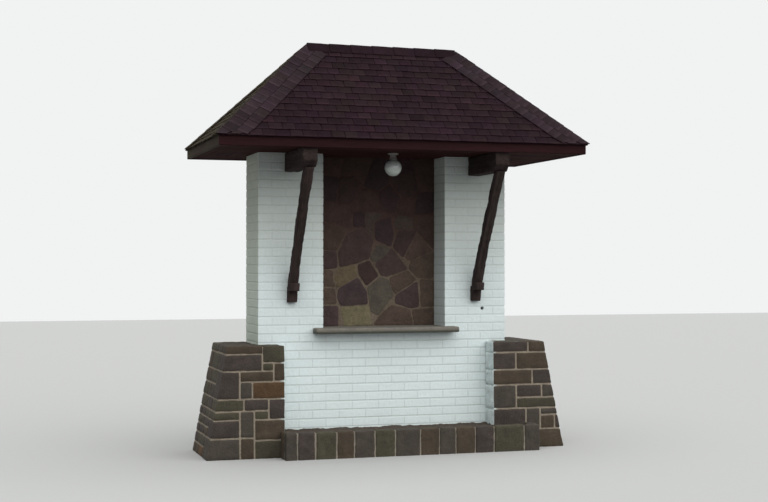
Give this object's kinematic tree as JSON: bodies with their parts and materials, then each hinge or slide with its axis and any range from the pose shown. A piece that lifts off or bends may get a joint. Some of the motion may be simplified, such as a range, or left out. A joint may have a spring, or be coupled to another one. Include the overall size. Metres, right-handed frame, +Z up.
{
  "type": "wayside shrine",
  "caption": "Free-standing brick wayside shrine with a stone-lined niche, projecting sill, strutted hipped slate roof, battered rubble buttresses and a low planter.",
  "frame": {"origin": "centre of the roof's outline on plan, at ground level", "axes": "+X to the right along the front, the front with the niche faces -Y, +Z up"},
  "size_m": [3.34, 1.68, 3.657],
  "materials": {
    "painted_brick": "matt white masonry paint over brickwork",
    "niche_stone": "split natural stone with pale joints",
    "sill_stone": "sawn stone, weathered",
    "rubble_stone": "dressed rubble with pale joints",
    "kerb_stone": "split stone blocks",
    "soil": "loose dark earth",
    "dark_timber": "rough-hewn, dark stained",
    "soffit_board": "dark stained boards",
    "fascia_board": "dark stained board, satin",
    "roof_slate": "small dark slates, weathered",
    "lamp_fitting": "white glazed",
    "opal_glass": "opal white, glossy"
  },
  "bodies": {
    "root": {"base_wall": "painted_brick", "left_pier": "painted_brick", "right_pier": "painted_brick", "back_wall": "painted_brick", "stone_lining": "niche_stone", "sill_slab": "sill_stone", "left_buttress": "rubble_stone", "right_buttress": "rubble_stone", "front_kerb": "kerb_stone", "left_kerb": "kerb_stone", "right_kerb": "kerb_stone", "planter_soil": "soil", "left_beam": "dark_timber", "right_beam": "dark_timber", "left_strut_foot": "dark_timber", "right_strut_foot": "dark_timber", "left_strut": "dark_timber", "right_strut": "dark_timber", "niche_ceiling": "soffit_board", "front_soffit": "soffit_board", "back_soffit": "soffit_board", "left_soffit": "soffit_board", "right_soffit": "soffit_board", "front_fascia": "fascia_board", "back_fascia": "fascia_board", "left_fascia": "fascia_board", "right_fascia": "fascia_board", "front_roof_slope": "roof_slate", "back_roof_slope": "roof_slate", "left_roof_hip": "roof_slate", "right_roof_hip": "roof_slate", "ridge_slates": "roof_slate", "lamp_rose": "lamp_fitting", "lamp_neck": "lamp_fitting", "lamp_globe": "opal_glass"}
  },
  "joints": []
}
